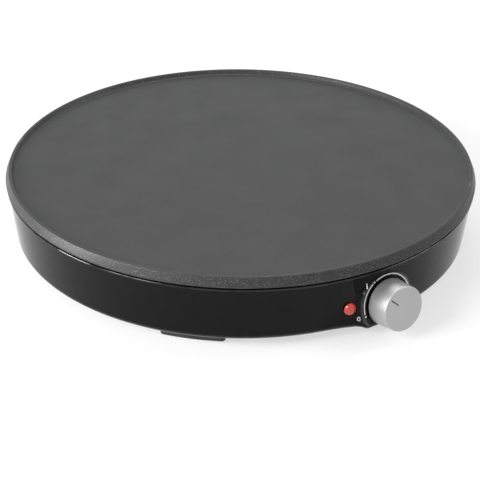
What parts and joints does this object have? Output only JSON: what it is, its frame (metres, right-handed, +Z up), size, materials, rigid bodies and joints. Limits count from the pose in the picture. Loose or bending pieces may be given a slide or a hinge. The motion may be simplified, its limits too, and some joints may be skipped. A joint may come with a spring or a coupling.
{
  "type": "electric crepe maker",
  "caption": "Round electric crepe maker: raised-lip cooking plate on a glossy drafted housing, with a tilted thermostat knob, indicator lens and wide feet.",
  "frame": {"origin": "centre of the table under the plate's axis", "axes": "+Z up along the plate's axis, knob towards -Y, cord gland towards +Y"},
  "size_m": [0.3099, 0.328, 0.05],
  "materials": {
    "nonstick_coating": "speckled satin non-stick coating",
    "gloss_black_plastic": "high gloss",
    "matt_black_plastic": "fine grain",
    "satin_aluminium": "satin",
    "red_lens": "clear gloss",
    "lamp_glass": "clear",
    "heater_sheath": "oxidised",
    "zinc_steel": "zinc plated",
    "aluminised_steel": "matt",
    "brass": "plain",
    "ceramic": "unglazed ceramic",
    "white_plastic": "satin",
    "rubber_pad": "matt",
    "brown_sleeve": "satin",
    "blue_sleeve": "satin",
    "white_sleeve": "glass sleeve",
    "green_sleeve": "satin"
  },
  "bodies": {
    "base": {"griddle_plate": "nonstick_coating", "heating_element": "heater_sheath", "element_pins": "zinc_steel", "element_straps": "zinc_steel", "strap_screws": "zinc_steel", "heat_shield": "aluminised_steel", "shield_spacers": "zinc_steel", "plate_screws": "zinc_steel", "housing": "gloss_black_plastic", "base_cover": "matt_black_plastic", "base_screws": "zinc_steel", "thermostat_bracket": "zinc_steel", "bracket_screws": "zinc_steel", "thermostat_bush": "brass", "bush_nut": "brass", "thermostat_frame": "zinc_steel", "thermostat_insulators": "ceramic", "contact_leaves": "brass", "bimetal_strip": "zinc_steel", "thermostat_rivet": "zinc_steel", "indicator_lens": "red_lens", "indicator_lamp": "lamp_glass", "lamp_holder": "matt_black_plastic", "cord_gland": "matt_black_plastic", "cord_clamp": "matt_black_plastic", "clamp_screws": "zinc_steel", "terminal_block": "white_plastic", "thermal_fuse": "zinc_steel", "fuse_clip": "zinc_steel", "fuse_screw": "zinc_steel", "earth_tag": "brass", "earth_screw": "zinc_steel", "live_lead": "brown_sleeve", "neutral_lead": "blue_sleeve", "switched_lead": "white_sleeve", "return_lead": "white_sleeve", "earth_lead": "green_sleeve", "lamp_leads": "white_sleeve", "foot_front_right": "matt_black_plastic", "foot_pad_front_right": "rubber_pad", "foot_front_left": "matt_black_plastic", "foot_pad_front_left": "rubber_pad", "foot_rear_right": "matt_black_plastic", "foot_pad_rear_right": "rubber_pad", "foot_rear_left": "matt_black_plastic", "foot_pad_rear_left": "rubber_pad"},
    "knob": {"knob_cap": "satin_aluminium", "knob_hub": "matt_black_plastic", "knob_spring": "zinc_steel", "control_shaft": "zinc_steel"}
  },
  "joints": [
    {"name": "knob_turn", "type": "hinge", "parent": "base", "child": "knob", "pos_m": [0, -0.1559, 0.0206], "axis": [0, -0.9877, 0.1564], "range_deg": [-155, 61]}
  ]
}
